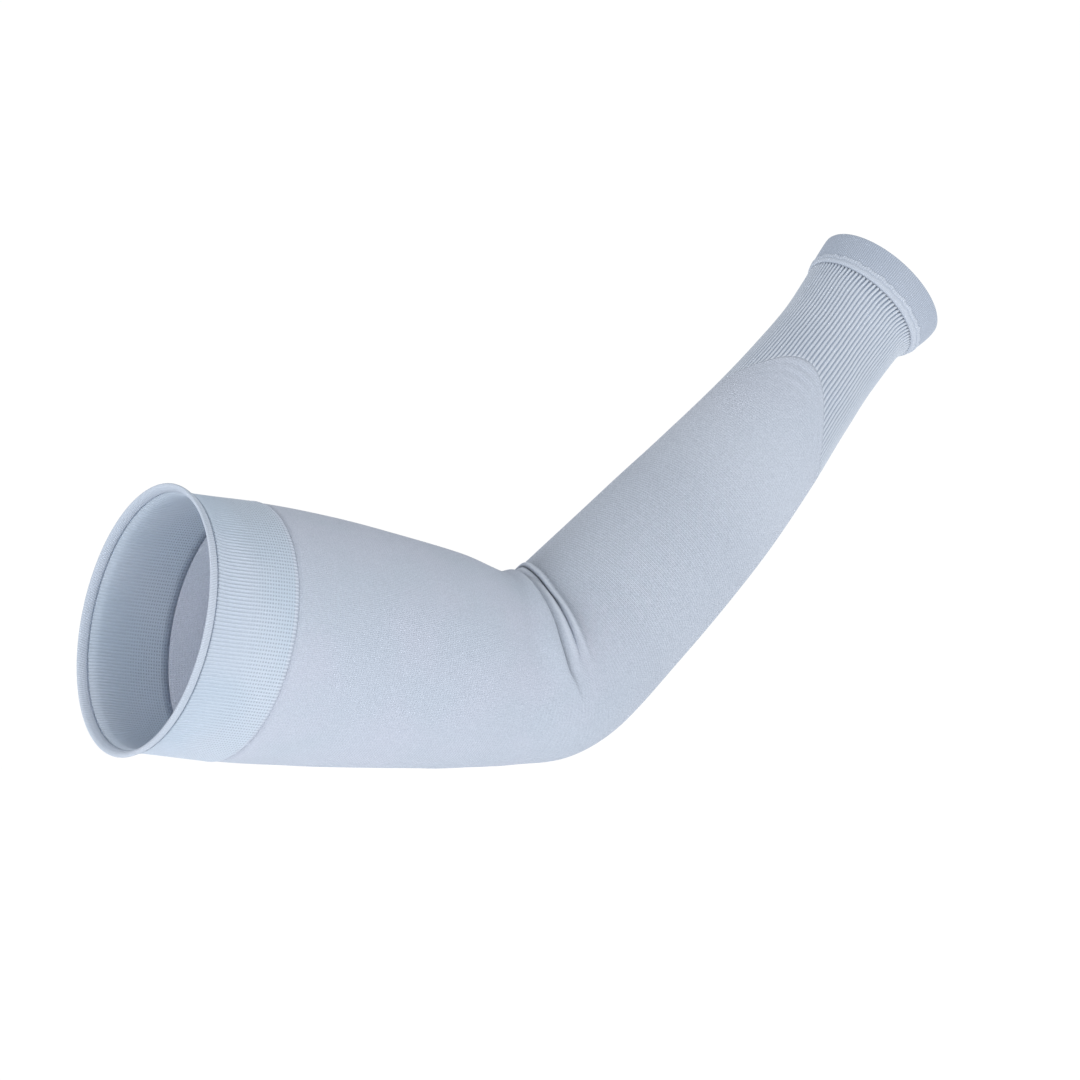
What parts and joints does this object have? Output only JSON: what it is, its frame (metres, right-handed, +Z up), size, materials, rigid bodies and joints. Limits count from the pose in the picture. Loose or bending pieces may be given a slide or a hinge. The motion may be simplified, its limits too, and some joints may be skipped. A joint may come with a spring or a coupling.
{
  "type": "arm sleeve",
  "caption": "Long knitted compression arm sleeve, bent at the elbow as worn, with a stretch band at the upper arm and a ribbed cuff at the wrist.",
  "frame": {"origin": "middle of the elbow, inside the hollow, where a bent arm holds the sleeve", "axes": "+X along the bend's plane from the upper opening to the wrist, +Y away from the outer side of the arm, +Z up"},
  "size_m": [0.4007, 0.1104, 0.2365],
  "materials": {
    "welt": "rolled knit edge, matt",
    "band": "fine ribbed stretch knit, matt",
    "jersey": "fine plain knit, soft sheen",
    "ribs": "ribbed knit, matt",
    "seam": "overlocked seam, matt",
    "hem": "doubled fine ribbed knit, matt"
  },
  "bodies": {
    "root": {"upper_hem": "welt", "upper_band": "band", "sleeve_body": "jersey", "ribbed_cuff": "ribs", "wrist_seam": "seam", "wrist_hem": "hem"}
  },
  "joints": []
}
